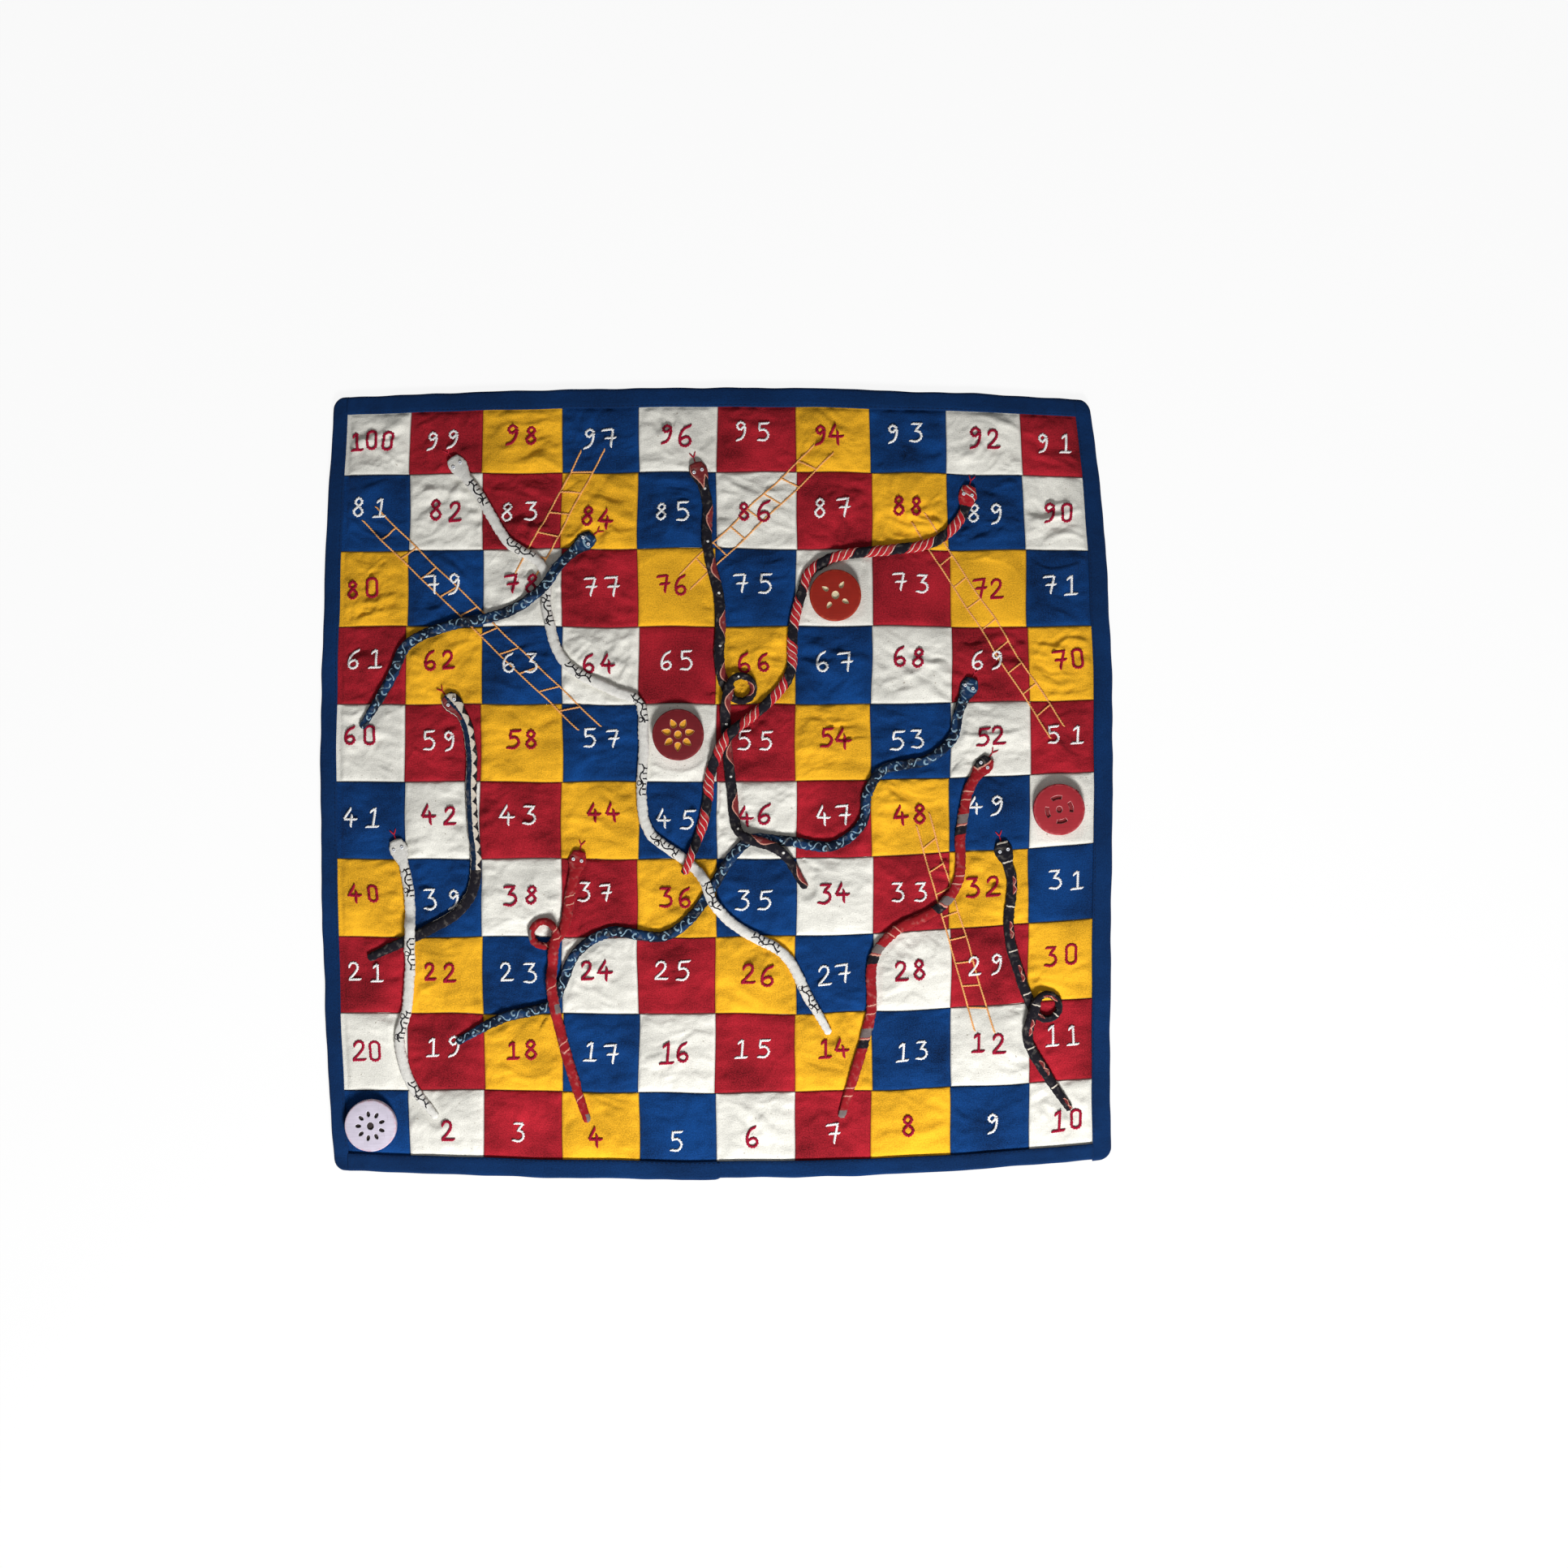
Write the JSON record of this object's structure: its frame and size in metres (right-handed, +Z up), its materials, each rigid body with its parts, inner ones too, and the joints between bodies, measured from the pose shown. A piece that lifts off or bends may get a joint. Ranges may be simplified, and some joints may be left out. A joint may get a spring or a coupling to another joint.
{
  "type": "snakes and ladders board",
  "caption": "Square cloth board of sewn coloured squares with a bound edge, stuffed snakes, stitched ladders and loose carved counters, folding at its middle seam.",
  "frame": {"origin": "middle of the board's outline, on the surface that it lies on", "axes": "+X to the right of a player at the bottom row, +Y towards the top row, +Z up out of the face"},
  "size_m": [0.508, 0.508, 0.0119],
  "materials": {
    "backing_cloth": "plain woven cotton",
    "lining": "thin wadding",
    "square_cloth": "plain woven cotton in four dyed colours",
    "binding_cloth": "plain woven cotton tape",
    "ladder_thread": "chain stitch in thick thread",
    "snake_indigo": "printed cotton, pale squiggles on indigo",
    "snake_zigzag": "printed cotton, pale triangles on black",
    "snake_white": "printed cotton, black marks on white",
    "snake_barred": "printed cotton, maroon bars on black",
    "snake_striped": "printed cotton, slanted white stripes on red",
    "snake_red": "printed cotton, pale and grey bands on red",
    "snake_black": "printed cotton, pale outlines on black",
    "counter_pale": "pale stain, dark carving",
    "counter_orange": "orange stain, cream carving",
    "counter_maroon": "maroon stain, yellow carving",
    "counter_rose": "rose stain, carved"
  },
  "bodies": {
    "lower_half": {"backing_lower": "backing_cloth", "lining_lower": "lining", "squares_row_01": "square_cloth", "squares_row_02": "square_cloth", "squares_row_03": "square_cloth", "squares_row_04": "square_cloth", "squares_row_05": "square_cloth", "binding_bottom": "binding_cloth", "binding_left_lower": "binding_cloth", "binding_right_lower": "binding_cloth", "ladder_12_48": "ladder_thread", "snake_indigo_long_lower": "snake_indigo", "snake_zigzag_lower": "snake_zigzag", "snake_white_long_lower": "snake_white", "snake_barred_lower": "snake_barred", "snake_striped_lower": "snake_striped", "snake_white_short": "snake_white", "snake_red": "snake_red", "snake_red_banded_lower": "snake_red", "snake_black": "snake_black"},
    "upper_half": {"backing_upper": "backing_cloth", "lining_upper": "lining", "squares_row_06": "square_cloth", "squares_row_07": "square_cloth", "squares_row_08": "square_cloth", "squares_row_09": "square_cloth", "squares_row_10": "square_cloth", "binding_top": "binding_cloth", "binding_left_upper": "binding_cloth", "binding_right_upper": "binding_cloth", "ladder_78_97": "ladder_thread", "ladder_57_81": "ladder_thread", "ladder_76_94": "ladder_thread", "ladder_51_88": "ladder_thread", "snake_indigo_long_upper": "snake_indigo", "snake_zigzag_upper": "snake_zigzag", "snake_white_long_upper": "snake_white", "snake_barred_upper": "snake_barred", "snake_indigo_short": "snake_indigo", "snake_striped_upper": "snake_striped", "snake_red_banded_upper": "snake_red"},
    "counter_pale": {"counter_pale": "counter_pale"},
    "counter_orange": {"counter_orange": "counter_orange"},
    "counter_maroon": {"counter_maroon": "counter_maroon"},
    "counter_rose": {"counter_rose": "counter_rose"}
  },
  "joints": [
    {"name": "board_fold", "type": "hinge", "parent": "lower_half", "child": "upper_half", "pos_m": [0, 0, 0.0125], "axis": [1, 0, 0], "range_deg": [0, 180]},
    {"name": "counter_pale_slide", "type": "slide", "parent": "lower_half", "child": "counter_pale", "axis": [0, 1, 0], "range_m": [0, 0.03]},
    {"name": "counter_orange_slide", "type": "slide", "parent": "upper_half", "child": "counter_orange", "axis": [1, 0, 0], "range_m": [0, 0.1]},
    {"name": "counter_maroon_slide", "type": "slide", "parent": "upper_half", "child": "counter_maroon", "axis": [0, 1, 0], "range_m": [0, 0.1]},
    {"name": "counter_rose_slide", "type": "slide", "parent": "lower_half", "child": "counter_rose", "axis": [0, -1, 0], "range_m": [0, 0.075]}
  ]
}
